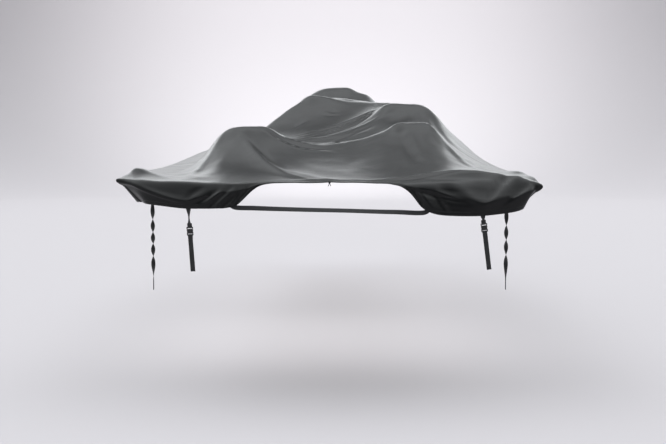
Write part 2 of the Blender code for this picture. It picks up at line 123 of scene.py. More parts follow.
# The sheet's cells, how it is drawn tight, and how much its creases and folds are softened.
cloth = {
    "acrossCells": 168, "alongCells": 200,
    "rowStops": ((0, 0.0), (12, 0.10), (26, 0.30), (158, 2.70), (200, 4.90)),
    "skirtDepths": (0, 0.03, 0.07, 0.12, 0.18, 0.25, 0.31, 0.36, 0.40, 0.44, 0.49, 0.56, 0.64, 0.72, 0.79,
                    0.85, 0.90, 0.95, 1),
    "thickness": 0.002, "singleLayer": 0.7, "hemWidth": 0.024,
    "firstHeight": 0.2, "coarseness": (4, 2, 1), "rounds": 400, "overRelaxing": 1.92,
    "lengthwisePull": 2.5, "sternSlack": 1.5, "bowSlack": 0.30, "bowSlackFrom": 1.7, "bowSlackOver": 1.2,
    "creaseShare": 0.40, "creaseWidth": 0.07, "creaseKept": 0.85, "softenings": 3, "softening": 0.6,
    "tableCells": 2000, "tableBlur": 0.016, "fineFold": 0.030, "foldEnd": 0.04, "fadeCells": 3,
}

# What carries the cloth: a line from one end to the other, its sag (or rise, -) and how round its top is.
supports = (
    (-0.57, 0.95, 0.318, -0.42, 0.95, 0.332, 0.0, 0.12),     # port seat
    (-0.42, 0.95, 0.320, 0.43, 0.90, 0.352, 0.108, 0.06),    # seat to console, a swag
    (0.43, 0.90, 0.352, 0.56, 0.90, 0.345, 0.0, 0.08),       # console, near edge
    (0.42, 1.60, 0.475, 0.58, 1.60, 0.462, 0.0, 0.12),       # console, far edge
    (0.58, 1.60, 0.462, 0.64, 1.60, 0.410, 0.0, 0.05),       # console, side
    (-0.12, 2.15, 0.540, 0.41, 2.15, 0.482, 0.0, 0.10),      # windscreen
    (-0.12, 2.15, 0.535, -0.44, 1.80, 0.305, -0.015, 0.06),  # windscreen to seat
    (-0.01, 2.65, 0.598, 0.12, 2.65, 0.602, 0.0, 0.20),      # windscreen, top
    (-1.07, 0.26, 0.102, -1.05, 0.34, 0.094, 0.0, 0.09),     # port corner cleat
    (1.05, 0.34, 0.082, 1.03, 0.42, 0.078, 0.0, 0.08),       # starboard corner cleat
    (-0.95, 0.30, 0.060, -1.00, 3.00, 0.050, 0.0, 0.60),     # port side deck
    (0.95, 0.30, 0.068, 1.00, 3.00, 0.030, 0.0, 0.60),       # starboard side deck
    (-0.80, 0.25, 0.048, 0.00, 0.25, 0.052, 0.0, 0.50),      # rear deck, port
    (0.00, 3.60, 0.250, 0.00, 4.90, 0.190, 0.0, 0.80),       # fore deck
    (0.64, 1.60, 0.415, 1.04, 1.60, 0.062, -0.010, 0.30),    # console to gunwale
)

# The panel that is drawn straight from the swag and the console's edge down to the stern: the line it hangs
# from with the panel's sag under each point, its port side by x and y, and how steeply it falls beyond both.
panel = {
    "from": ((-0.55, 0.93, 0.320, 0.060), (-0.42, 0.95, 0.318, 0.055), (-0.20, 0.95, 0.240, 0.030),
             (0.00, 0.94, 0.222, 0.020), (0.20, 0.93, 0.246, 0.018), (0.43, 0.90, 0.345, 0.014),
             (0.56, 0.88, 0.340, 0.018), (0.66, 0.82, 0.264, 0.018), (0.70, 0.74, 0.184, 0.014),
             (0.76, 0.60, 0.112, 0.006), (0.90, 0.38, 0.042, 0.0)),
    "portSide": ((-0.05, 0.05), (-0.24, 0.22), (-0.36, 0.47), (-0.45, 0.67), (-0.53, 0.86)),
    "portFall": 0.9, "farFall": 3.0,
}

# The stern edge from port to starboard: across, the edge's y and z, the crease's and the hem's.
sternTable = np.array((
    (-1.000, 0.000, 0.058, 0.026, 0.014, 0.085, -0.078),
    (-0.900, 0.000, 0.048, -0.024, 0.014, 0.010, -0.080),
    (-0.800, 0.000, 0.042, -0.048, -0.030, -0.026, -0.088),
    (-0.680, 0.000, 0.036, -0.064, -0.066, -0.055, -0.102),
    (-0.580, 0.000, 0.030, -0.050, -0.036, -0.052, -0.102),
    (-0.480, 0.000, 0.029, -0.036, -0.008, -0.050, -0.100),
    (-0.430, 0.000, 0.029, -0.030, -0.012, -0.042, -0.090),
    (-0.385, 0.005, 0.030, -0.022, 0.002, -0.028, -0.033),
    (-0.340, 0.015, 0.033, 0.000, 0.024, -0.004, 0.016),
    (-0.280, 0.030, 0.037, 0.020, 0.035, 0.014, 0.030),
    (0.000, 0.035, 0.040, 0.024, 0.039, 0.016, 0.034),
    (0.280, 0.035, 0.037, 0.024, 0.036, 0.014, 0.030),
    (0.345, 0.040, 0.034, 0.010, 0.022, -0.002, 0.008),
    (0.390, 0.050, 0.036, -0.012, 0.004, -0.022, -0.026),
    (0.430, 0.065, 0.042, -0.024, -0.004, -0.046, -0.108),
    (0.500, 0.090, 0.056, -0.030, -0.018, -0.050, -0.136),
    (0.600, 0.120, 0.080, -0.042, -0.044, -0.058, -0.141),
    (0.705, 0.140, 0.094, -0.055, -0.070, -0.060, -0.141),
    (0.800, 0.130, 0.080, -0.042, -0.040, -0.040, -0.125),
    (0.900, 0.070, 0.062, -0.024, -0.006, 0.006, -0.104),
    (1.000, 0.000, 0.025, 0.030, -0.023, 0.085, -0.092),
))

# Ridges (+) and troughs (-) in the top: the rise and width of each and the line that it follows.
topFolds = (
    # broad ones, and the roll along the stern's edge
    (0.012, 0.070, ((-0.57, 0.90), (-0.66, 0.45), (-0.76, 0.10))),
    (0.007, 0.050, ((0.59, 0.86), (0.75, 0.66), (0.99, 0.31))),
    (0.016, 0.050, ((-0.52, 0.86), (-0.33, 0.40), (-0.02, 0.06))),
    (-0.045, 0.120, ((-0.36, 1.08), (0.00, 1.12), (0.38, 1.06))),
    (0.070, 0.220, ((0.05, 3.00), (0.02, 3.60), (0.00, 5.00))),
    (-0.030, 0.140, ((-0.84, 0.45), (-0.90, 1.00), (-0.98, 2.00))),
    (-0.034, 0.120, ((-0.14, 2.48), (0.00, 2.40), (0.15, 2.38), (0.32, 2.44))),
    (-0.018, 0.150, ((-0.82, 0.85), (-0.82, 1.20), (-0.80, 1.60))),
    (-0.018, 0.050, ((0.20, 2.40), (0.21, 2.65), (0.23, 2.95))),
    (0.016, 0.060, ((0.26, 2.75), (0.34, 2.55), (0.42, 2.28))),
    (0.003, 0.022, ((-1.00, 0.03), (-0.60, 0.03), (-0.42, 0.04), (-0.28, 0.065), (0.28, 0.07), (0.42, 0.10),
                    (0.56, 0.145), (0.70, 0.17), (0.80, 0.165), (0.90, 0.11))),
    (0.005, 0.017, ((0.26, 0.07), (0.42, 0.105), (0.56, 0.15), (0.70, 0.175), (0.80, 0.17))),
    # finer ones, on the swag and the big slope below it
    (-0.009, 0.022, ((-0.44, 0.91), (-0.32, 0.87), (-0.20, 0.83), (-0.10, 0.80), (-0.01, 0.78))),
    (-0.008, 0.020, ((-0.20, 0.93), (-0.05, 0.92), (0.10, 0.92), (0.26, 0.93))),
    (0.005, 0.016, ((-0.40, 0.86), (-0.28, 0.82), (-0.16, 0.78), (-0.04, 0.74), (0.02, 0.71))),
    (0.009, 0.018, ((-0.53, 0.82), (-0.46, 0.67), (-0.36, 0.47), (-0.24, 0.22), (-0.09, 0.06))),
    (-0.010, 0.024, ((-0.54, 0.88), (-0.45, 0.74), (-0.34, 0.52), (-0.22, 0.30))),
    (-0.013, 0.028, ((0.42, 0.84), (0.43, 0.70), (0.45, 0.52), (0.47, 0.36))),
    (0.006, 0.024, ((0.47, 0.84), (0.48, 0.70), (0.50, 0.52), (0.52, 0.38))),
    (0.006, 0.014, ((-0.36, 1.02), (-0.26, 0.94), (-0.12, 0.87))),
    (-0.006, 0.014, ((-0.24, 1.02), (-0.15, 0.94), (-0.02, 0.88))),
    (0.005, 0.014, ((-0.06, 1.01), (0.04, 0.94), (0.16, 0.89))),
    (-0.007, 0.050, ((0.10, 0.80), (0.14, 0.60), (0.10, 0.36))),
    (0.006, 0.060, ((0.26, 0.82), (0.30, 0.56), (0.30, 0.30))),
    # the port face and its flank
    (0.008, 0.026, ((-0.64, 0.90), (-0.72, 0.78), (-0.77, 0.45), (-0.78, 0.13))),
    (-0.006, 0.040, ((-0.58, 0.86), (-0.66, 0.60), (-0.70, 0.30))),
    (0.005, 0.030, ((-1.05, 0.30), (-0.97, 0.25), (-0.88, 0.18))),
    # the console's edges and its bright side
    (0.008, 0.022, ((0.45, 0.92), (0.58, 0.90), (0.655, 0.84), (0.72, 0.70), (0.775, 0.50), (0.82, 0.36))),
    (0.016, 0.036, ((0.57, 1.58), (0.54, 1.42), (0.51, 1.20), (0.49, 0.98))),
    (-0.010, 0.028, ((0.66, 1.50), (0.76, 1.20), (0.88, 0.98), (1.00, 0.90))),
    (0.008, 0.024, ((0.80, 0.58), (0.88, 0.72), (0.98, 0.92))),
    (-0.008, 0.022, ((0.86, 0.52), (0.92, 0.70), (1.00, 0.86))),
    # the windscreen's edge, the wrinkles under it and the bundle in the valley
    (-0.016, 0.040, ((-0.10, 2.24), (0.00, 2.17), (0.12, 2.13), (0.24, 2.15), (0.36, 2.20))),
    (-0.008, 0.018, ((-0.03, 1.93), (0.00, 1.90), (0.05, 1.87))),
    (-0.007, 0.015, ((-0.05, 1.86), (0.00, 1.83), (0.06, 1.80))),
    (-0.007, 0.016, ((-0.24, 1.66), (-0.21, 1.72), (-0.17, 1.77))),
    (0.007, 0.016, ((0.42, 2.16), (0.36, 1.95), (0.24, 1.74), (0.06, 1.60), (-0.12, 1.50), (-0.30, 1.36))),
    (-0.008, 0.015, ((0.42, 2.08), (0.34, 1.86), (0.22, 1.67), (0.04, 1.55), (-0.14, 1.46))),
    (0.007, 0.014, ((0.41, 1.98), (0.31, 1.74), (0.16, 1.59), (-0.01, 1.49), (-0.20, 1.38))),
    (-0.008, 0.014, ((0.40, 1.88), (0.28, 1.66), (0.12, 1.53), (-0.06, 1.42), (-0.24, 1.30))),
    (0.007, 0.014, ((0.38, 1.78), (0.24, 1.59), (0.08, 1.47), (-0.08, 1.37), (-0.26, 1.24))),
    (-0.008, 0.016, ((0.34, 1.66), (0.20, 1.52), (0.05, 1.42), (-0.10, 1.32))),
    (0.007, 0.016, ((0.40, 1.50), (0.26, 1.42), (0.10, 1.34), (-0.08, 1.26))),
    (-0.008, 0.020, ((-0.34, 1.22), (-0.16, 1.20), (0.04, 1.23), (0.26, 1.30))),
    # from the windscreen down over the bow
    (0.014, 0.060, ((0.30, 2.30), (0.52, 2.80), (0.74, 3.50), (0.86, 4.10))),
    (0.014, 0.060, ((-0.22, 2.30), (-0.48, 2.80), (-0.74, 3.40), (-0.90, 3.90))),
    (-0.016, 0.070, ((0.18, 2.90), (0.34, 3.40), (0.46, 4.10), (0.50, 4.80))),
    (-0.016, 0.070, ((-0.14, 2.90), (-0.30, 3.40), (-0.44, 4.10), (-0.50, 4.80))),
    (0.010, 0.050, ((0.30, 3.30), (0.56, 3.90), (0.70, 4.60))),
    (0.010, 0.050, ((-0.26, 3.20), (-0.52, 3.80), (-0.70, 4.50))),
)

# The same in the stern skirt, where a line is given by x and z as it is seen from astern.
skirtFolds = (
    # port flap: the crease that both arms make down to the tab, and the gathers beside it
    (0.010, 0.011, ((-1.06, 0.034), (-0.95, -0.010), (-0.84, -0.046), (-0.75, -0.066))),
    (-0.006, 0.010, ((-0.75, -0.050), (-0.72, -0.020), (-0.67, 0.004))),
    (-0.009, 0.012, ((-0.72, -0.070), (-0.67, -0.056), (-0.63, -0.030), (-0.59, -0.008))),
    (0.011, 0.011, ((-0.66, -0.078), (-0.59, -0.036), (-0.54, 0.002))),
    (-0.014, 0.011, ((-0.63, -0.088), (-0.57, -0.027), (-0.52, 0.014))),
    (0.011, 0.011, ((-0.60, -0.092), (-0.55, -0.052), (-0.50, -0.018))),
    (-0.014, 0.011, ((-0.57, -0.092), (-0.52, -0.052), (-0.48, -0.016))),
    (0.011, 0.011, ((-0.54, -0.092), (-0.49, -0.047), (-0.455, -0.004))),
    (-0.013, 0.011, ((-0.51, -0.090), (-0.47, -0.038), (-0.435, 0.006))),
    # starboard flap
    (0.022, 0.022, ((0.38, 0.012), (0.50, 0.013), (0.64, 0.013), (0.78, 0.016), (0.90, 0.022))),
    (-0.012, 0.012, ((0.40, 0.010), (0.51, -0.018), (0.63, -0.049), (0.74, -0.072))),
    (-0.011, 0.012, ((0.80, -0.070), (0.84, -0.048), (0.89, -0.016), (0.96, 0.040))),
    (-0.008, 0.011, ((0.58, -0.004), (0.66, -0.030), (0.75, -0.066))),
    (0.008, 0.011, ((0.60, 0.016), (0.69, -0.012), (0.77, -0.052))),
    (-0.014, 0.013, ((0.97, 0.074), (0.89, 0.020), (0.82, -0.034))),
    (0.013, 0.012, ((1.02, 0.060), (0.94, 0.006), (0.86, -0.060))),
    (-0.014, 0.012, ((1.07, 0.034), (0.99, -0.021), (0.92, -0.074))),
    (-0.011, 0.011, ((0.44, -0.002), (0.47, -0.052), (0.50, -0.115))),
    (0.011, 0.011, ((0.48, -0.014), (0.51, -0.062), (0.56, -0.115))),
    (-0.011, 0.011, ((0.54, -0.020), (0.58, -0.070), (0.62, -0.120))),
)


def bareHalfBeam(y):
    widening = boat["fullHalfBeam"] - boat["sternHalfBeam"]
    beam = boat["sternHalfBeam"] + widening * smooth(y / boat["widestAt"])
    beyond = np.maximum(y - boat["widestAt"], 0) / boat["bowTaperLength"]
    return beam * np.sqrt(1 - beyond ** boat["bowTaperPower"])


def halfBeam(y):
    return bareHalfBeam(y) + boat["earReach"] * np.exp(-np.maximum(y, 0) / boat["earLength"])


def rim(y, height, tip):
    rise = boat["bowRise"] * smooth((y - boat["bowRiseFrom"]) / boat["bowRiseLength"])
    sheer = height - boat["rimFall"] * smooth(y / boat["widestAt"]) + rise
    return sheer + (tip - sheer) * np.exp(-(y / boat["sternDip"]) ** 2)


def rowPlace(share):
    # the sheet's rows lie close together where it is folded most
    rowCounts, places = np.array(cloth["rowStops"]).T
    return np.interp(share * cloth["alongCells"], rowCounts, places)


def shareToBow(end):
    # 0 at the stern and 1 at the bow, slower and slower towards the bow
    even, quickening = boat["evenBend"], 1 - boat["evenBend"]
    return (np.sqrt(even ** 2 + 4 * quickening * end / boat["shoulderAt"]) - even) / (2 * quickening)


# The stern table drawn out finely and rounded a little, so that no station shows as a corner.
sternPlaces = np.linspace(-1, 1, cloth["tableCells"] + 1)
blurCells = cloth["tableBlur"] * cloth["tableCells"] / 2
blurReach = int(3 * blurCells)
blurShares = np.exp(-0.5 * (np.arange(-blurReach, blurReach + 1) / blurCells) ** 2)
blurShares /= blurShares.sum()
sternColumns = []
for column in sternTable.T[1:]:
    drawn = np.interp(sternPlaces, sternTable[:, 0], column)
    padded = np.pad(drawn, blurReach, mode="reflect", reflect_type="odd")
    sternColumns.append(np.convolve(padded, blurShares, "valid"))


def sternAt(across):
    return [np.interp(across, sternPlaces, column) for column in sternColumns]


def planPlaces(across, along):
    end = rowPlace(along)
    bend = boat["bowReach"] * smooth((shareToBow(end) - boat["bowBendFrom"]) / (1 - boat["bowBendFrom"]))
    sternSet = sternAt(across)[0] * (1 - smooth(end / boat["sternSetLength"]))
    return across * halfBeam(end), end + bend * (1 - across * across) + sternSet


def carried(x, y):
    best = np.full(x.shape, -1.0)
    for x1, y1, z1, x2, y2, z2, sag, roundness in supports:
        runX, runY = x2 - x1, y2 - y1
        share = np.clip(((x - x1) * runX + (y - y1) * runY) / (runX ** 2 + runY ** 2), 0, 1)
        away2 = (x - x1 - share * runX) ** 2 + (y - y1 - share * runY) ** 2
        line = z1 + share * (z2 - z1) - sag * 4 * share * (1 - share)
        best = np.maximum(best, line - away2 / (2 * roundness))
    return best


def tautPanel(x, y):
    farX, farY, farZ, sags = np.array(panel["from"]).T
    portX, portY = np.array(panel["portSide"]).T
    nearY, nearZ = sternAt(x / halfBeam(np.maximum(y, 0)))[:2]
    share = np.clip((y - nearY) / (np.interp(x, farX, farY) - nearY), 0, 1)
    straight = nearZ + share * (np.interp(x, farX, farZ) - nearZ)
    sag = np.interp(x, farX, sags) * 4 * share * (1 - share)
    aside = np.maximum(np.interp(y, portY, portX) - x, 0)
    beyond = np.maximum(y - np.interp(x, farX, farY), 0)
    return straight - sag - panel["portFall"] * aside - panel["farFall"] * beyond


def curveThrough(points, steps=8):
    # a smooth line through a few points
    places = np.array(points, float)
    padded = np.vstack((2 * places[0] - places[1], places, 2 * places[-1] - places[-2]))
    line = []
    for i in range(1, len(padded) - 2):
        before, start, end, after = padded[i - 1:i + 3]
        for step in range(steps):
            t = step / steps
            bends = (2 * before - 5 * start + 4 * end - after) * t * t
            twists = (3 * start - before - 3 * end + after) * t ** 3
            line.append(0.5 * (2 * start + (end - before) * t + bends + twists))
    return np.array(line + [places[-1]])


def foldRise(x, y, folds):
    # how far a set of folds lifts each point; a fold fades out at both its ends
    total = np.zeros(x.shape)
    for rise, width, points in folds:
        line = curveThrough(points)
        lengths = np.hypot(*np.diff(line, axis=0).T)
        reached = np.concatenate(((0,), np.cumsum(lengths)))
        away2 = np.full(x.shape, np.inf)
        nearest = np.zeros(x.shape)
        for i, (start, end) in enumerate(zip(line, line[1:])):
            run = end - start
            share = np.clip(((x - start[0]) * run[0] + (y - start[1]) * run[1]) / (run @ run), 0, 1)
            gap2 = (x - start[0] - share * run[0]) ** 2 + (y - start[1] - share * run[1]) ** 2
            closer = gap2 < away2
            away2 = np.where(closer, gap2, away2)
            nearest = np.where(closer, (reached[i] + share * lengths[i]) / reached[-1], nearest)
        taper = np.sqrt(np.sin(np.pi * np.clip(nearest, cloth["foldEnd"], 1 - cloth["foldEnd"])))
        total += rise * taper * np.exp(-away2 / width ** 2)
    return total


def resampled(grid, rows, columns):
    for count in (rows, columns):
        places = np.linspace(0, len(grid) - 1, count + 1)
        below = np.minimum(places.astype(int), len(grid) - 2)
        share = (places - below)[:, None]
        grid = (grid[below] * (1 - share) + grid[below + 1] * share).T
    return grid


def drawnOver(start, columns, rows):
    # lets each point of the sheet's top sag between its neighbours, over and over, but never below what
    # carries it
    across, along = np.meshgrid(np.linspace(-1, 1, columns + 1), np.linspace(0, 1, rows + 1))
    placeX, placeY = planPlaces(across, along)
    floor = np.maximum(carried(placeX, placeY), tautPanel(placeX, placeY))
    height = resampled(start, rows, columns)
    height[0] = sternAt(across[0])[1]
    sides = rowPlace(along[:, 0])
    height[:, 0] = rim(sides, boat["portRim"], height[0, 0])
    height[:, -1] = rim(sides, boat["starboardRim"], height[0, -1])
    height[-1] = np.linspace(height[-1, 0], height[-1, -1], columns + 1)
    stepX = np.diff(placeX, axis=1)
    stepY = np.hypot(np.diff(placeX, axis=0), np.diff(placeY, axis=0))
    bothSteps = stepY[1:, 1:-1] + stepY[:-1, 1:-1]
    east = 1 / stepX[1:-1, 1:] ** 2
    west = 1 / stepX[1:-1, :-1] ** 2
    ahead = cloth["lengthwisePull"] * 2 / (stepY[1:, 1:-1] * bothSteps)
    behind = cloth["lengthwisePull"] * 2 / (stepY[:-1, 1:-1] * bothSteps)
    total = east + west + ahead + behind
    toBow = smooth((placeY[1:-1, 1:-1] - cloth["bowSlackFrom"]) / cloth["bowSlackOver"])
    slack = cloth["sternSlack"] + (cloth["bowSlack"] - cloth["sternSlack"]) * toBow
    row, column = np.indices(total.shape)
    inner = height[1:-1, 1:-1]
    for _ in range(cloth["rounds"]):
        for parity in (0, 1):
            mean = east * height[1:-1, 2:] + west * height[1:-1, :-2]
            mean += ahead * height[2:, 1:-1] + behind * height[:-2, 1:-1]
            moved = inner + cloth["overRelaxing"] * ((mean - slack) / total - inner)
            moved = np.maximum(moved, floor[1:-1, 1:-1])
            chosen = (row + column) % 2 == parity
            inner[chosen] = moved[chosen]
    return placeX, placeY, height


print("cover: drawing the sheet over what carries it")
height = np.full((3, 3), cloth["firstHeight"])
for coarse in cloth["coarseness"]:
    placeX, placeY, height = drawnOver(height, cloth["acrossCells"] // coarse, cloth["alongCells"] // coarse)
broadFolds = [fold for fold in topFolds if fold[1] >= cloth["fineFold"]]
fineFolds = [fold for fold in topFolds if fold[1] < cloth["fineFold"]]
height[1:-1, 1:-1] += foldRise(placeX, placeY, broadFolds)[1:-1, 1:-1]
top = np.stack((placeX, placeY, height), axis=2)


def stationList(cells):
    depths = cloth["skirtDepths"]
    before = [(0, depth) for depth in depths[:0:-1]]
    middle = [(i, 0.0) for i in range(cells + 1)]
    return before + middle + [(cells, depth) for depth in depths[1:]]


acrossStations = stationList(cloth["acrossCells"])
alongStations = stationList(cloth["alongCells"])

# The skirt. Plain, away from the stern: how far it stands out (+) or is drawn in (-) and how far it hangs,
# at its crease and at its hem. Then where each end's form begins and how its corners are rounded.
skirt = {
    "plain": (0.004, 0.045, -0.045, 0.150),
    "sternBegins": 0.35, "sternRadius": 0.006, "sternGrowth": 0.03,
    "bowBegins": 0.35, "bowRadius": 0.03, "bowGrowth": 0.30, "bowSpread": 3, "normalStep": 0.01,
}


def hang(profile, depth):
    creaseOut, creaseDrop, hemOut, hemDrop = profile
    if depth < cloth["creaseShare"]:
        share = depth / cloth["creaseShare"]
        return creaseOut * share, creaseDrop * share
    share = (depth - cloth["creaseShare"]) / (1 - cloth["creaseShare"])
    return creaseOut + (hemOut - creaseOut) * share, creaseDrop + (hemDrop - creaseDrop) * share


def sternProfile(across):
    edgeY, edgeZ, creaseY, creaseZ, hemY, hemZ = sternAt(across)
    return edgeY - creaseY, edgeZ - creaseZ, edgeY - hemY, edgeZ - hemZ


def sideNormal(end, mirror):
    widening = (bareHalfBeam(end + skirt["normalStep"]) - bareHalfBeam(end)) / skirt["normalStep"]
    return Vector((mirror, -widening)).normalized()


def bowNormal(across):
    return Vector((2 * boat["bowReach"] * across / halfBeam(boat["shoulderAt"]), 1)).normalized()


def mixed(first, second, share):
    return [a + (b - a) * share for a, b in zip(first, second)]


def rounding(depth):
    # the stern corners are blunt: the skirt stands out a little before it turns down
    return boat["earRound"] * math.sin(math.pi * min(depth / cloth["creaseShare"], 1))


def cornerPlace(edge, side, end, profile, radius, sideDepth, endDepth, blunt):
    # in a corner the skirt turns on an arc that grows with its depth
    out, drop = hang(profile, max(sideDepth, endDepth))
    out += blunt * rounding(max(sideDepth, endDepth))
    share = endDepth / (2 * sideDepth) if sideDepth >= endDepth else 1 - sideDepth / (2 * endDepth)
    turn = side.angle(end)
    middle = (side + end) / (1 + math.cos(turn))
    way = side * math.sin((1 - share) * turn) + end * math.sin(share * turn)
    flat = edge.xy + middle * (out - radius) + way.normalized() * radius
    return flat.x, flat.y, edge.z - drop


def skirtPlace(column, row):
    topColumn, sideDepth = acrossStations[column]
    topRow, endDepth = alongStations[row]
    edge = Vector(top[topRow, topColumn])
    across = topColumn / cloth["acrossCells"] * 2 - 1
    fromStern = rowPlace(topRow / cloth["alongCells"])
    along = shareToBow(fromStern)
    depth = max(sideDepth, endDepth)
    mirror = -1 if across < 0 else 1
    atStern = along < 0.5
    name = "stern" if atStern else "bow"
    if atStern:
        endProfile, tipProfile = sternProfile(across), sternProfile(mirror)
        endNormal = cornerNormal = aft.xy
        fromCorner = fromStern
    else:
        endProfile = tipProfile = skirt["plain"]
        endNormal, cornerNormal = bowNormal(across), bowNormal(mirror)
        fromCorner = (1 - along) * skirt["bowSpread"]
    radius = skirt[name + "Radius"] + skirt[name + "Growth"] * depth
    side = sideNormal(fromStern, mirror)
    if sideDepth > 0 and endDepth > 0:
        return cornerPlace(edge, side, endNormal, tipProfile, radius, sideDepth, endDepth, atStern)
    if sideDepth > 0:
        near = 1 - smooth(fromCorner / skirt[name + "Begins"])
        profile = mixed(skirt["plain"], tipProfile, near)
        normal, beyond = side, cornerNormal
    else:
        near = smooth((abs(across) - 1 + skirt[name + "Begins"]) / skirt[name + "Begins"])
        profile = endProfile
        normal, beyond = endNormal, sideNormal(0 if atStern else boat["shoulderAt"], mirror)
    out, drop = hang(profile, depth)
    out += atStern * near * rounding(depth)
    alongEdge = (beyond - normal * normal.dot(beyond)).normalized()
    shift = near * (out - radius) * math.tan(normal.angle(beyond) / 2)
    flat = edge.xy + normal * out + alongEdge * shift
    return flat.x, flat.y, edge.z - drop


print("cover: hanging the skirt round it")
columns, rows = len(acrossStations), len(alongStations)
skirtCells = len(cloth["skirtDepths"]) - 1
points = np.zeros((rows, columns, 3))
points[skirtCells:-skirtCells, skirtCells:-skirtCells] = top
for row in range(rows):
    for column in range(columns):
        if acrossStations[column][1] > 0 or alongStations[row][1] > 0:
            points[row, column] = skirtPlace(column, row)


def gridNormals(grid):
    acrossWay = np.gradient(grid, axis=1)
    alongWay = np.gradient(grid, axis=0)
    normal = np.cross(acrossWay, alongWay)
    return normal / np.maximum(np.linalg.norm(normal, axis=2, keepdims=True), 1e-9)


def softened(grid, weight):
    # one round of smoothing inside the sheet, with the hem smoothed along its own line
    moved = grid.copy()
    ring = (grid[2:, 1:-1] + grid[:-2, 1:-1] + grid[1:-1, 2:] + grid[1:-1, :-2]) / 4
    moved[1:-1, 1:-1] += weight[1:-1, 1:-1, None] * (ring - grid[1:-1, 1:-1])
    for side in (0, -1):
        for hem, before in ((moved[side], grid[side]), (moved[:, side], grid[:, side])):
            hem[1:-1] += 0.5 * ((before[2:] + before[:-2]) / 2 - before[1:-1])
    return moved


# The stern skirt's own crease is kept sharper than the rest.
sternDepths = np.array([depth if row < skirtCells else -1.0 for row, (_, depth) in enumerate(alongStations)])
creaseNear = np.exp(-((sternDepths - cloth["creaseShare"]) / cloth["creaseWidth"]) ** 2)
softening = cloth["softening"] * (1 - cloth["creaseKept"] * creaseNear)
for _ in range(cloth["softenings"]):
    points = softened(points, np.tile(softening[:, None], (1, columns)))

# Distances along the cloth itself: across from its middle, lengthwise from the stern hem, and from the
# nearest hem inward.
acrossSteps = np.linalg.norm(np.diff(points, axis=1), axis=2)
alongSteps = np.linalg.norm(np.diff(points, axis=0), axis=2)
acrossReach = np.concatenate((np.zeros((rows, 1)), np.cumsum(acrossSteps, axis=1)), axis=1)
alongReach = np.concatenate((np.zeros((1, columns)), np.cumsum(alongSteps, axis=0)), axis=0)
fromHem = np.minimum.reduce((acrossReach, acrossReach[:, -1:] - acrossReach,
                             alongReach, alongReach[-1:] - alongReach))
sheetU = acrossReach - acrossReach[:, columns // 2, None]
sheetV = alongReach

# The cloth's slight unevenness: how often it comes in a metre and how high it is. Then the gathers' reach,
# and the small waves of the hem where its cord draws it in: how often, their shift, how often that comes,
# and how high.
ripple = {
    "swell": (5, 3, 5), "swellHeight": 0.0022, "pucker": (13, 9), "puckerHeight": 0.0009, "puckerSeed": 4,
    "dent": (6, 2, 5), "dentDepth": 0.0035, "dentSeed": 9,
    "gatherCells": 6, "gatherSide": 1.12, "gatherFade": 0.05, "gathersFirst": 0.4, "lastSoftening": 0.35,
    "hemWaves": ((38, 2.1, 5.3, 0.0035), (23, 1.7, 3.1, 0.0035)), "waveSlant": 0.7,
    "wavesFrom": 0.2, "wavesOver": 0.3, "wavesBelow": 0.25,
}


def uneven(x, y, z):
    swellX, swellY, swellZ = ripple["swell"]
    puckerX, puckerY = ripple["pucker"]
    dentX, dentSlant, dentY = ripple["dent"]
    swell = noise.noise((x * swellX, y * swellY, z * swellZ)) * ripple["swellHeight"]
    pucker = noise.noise((x * puckerX, y * puckerY, ripple["puckerSeed"])) * ripple["puckerHeight"]
    dentPlace = (x * dentX + y * dentSlant, y * dentY, z * dentX + ripple["dentSeed"])
    return swell + pucker - abs(noise.noise(dentPlace)) * ripple["dentDepth"]


# The flaps' gathers, in part, with the unevenness and the hem's waves.
print("cover: gathering and folding it")
gatherRows = smooth((skirtCells + ripple["gatherCells"] - np.arange(rows)) / ripple["gatherCells"])
inFlaps = smooth((ripple["gatherSide"] - np.abs(points[:, :, 0])) / ripple["gatherFade"])
gathers = gatherRows[:, None] * inFlaps * foldRise(points[:, :, 0], points[:, :, 2], skirtFolds)
push = ripple["gathersFirst"] * gathers + np.array([[uneven(*place) for place in line] for line in points])
depthDown = np.maximum.outer([depth for _, depth in alongStations], [depth for _, depth in acrossStations])
run = points[:, :, 1] + ripple["waveSlant"] * points[:, :, 0]
waves = sum(np.sin(run * often + shift * np.sin(run * shiftOften)) * high
            for often, shift, shiftOften, high in ripple["hemWaves"])
lowDown = smooth((depthDown - ripple["wavesBelow"]) / (1 - ripple["wavesBelow"]))
push += waves * lowDown * smooth((points[:, :, 1] - ripple["wavesFrom"]) / ripple["wavesOver"])
points += gridNormals(points) * push[:, :, None]
points = softened(points, np.full(points.shape[:2], ripple["lastSoftening"]))

# The fine folds and the rest of the gathers come last, so that they stay sharp. The folds fade out at the
# top's edges.
fade = np.minimum.outer(*[np.minimum(np.arange(cells + 1), np.arange(cells, -1, -1)) / cloth["fadeCells"]
                          for cells in (cloth["alongCells"], cloth["acrossCells"])])
inTop = slice(skirtCells, -skirtCells)
points[inTop, inTop, 2] += smooth(fade) * foldRise(placeX, placeY, fineFolds)
points += gridNormals(points) * (1 - ripple["gathersFirst"]) * gathers[:, :, None]

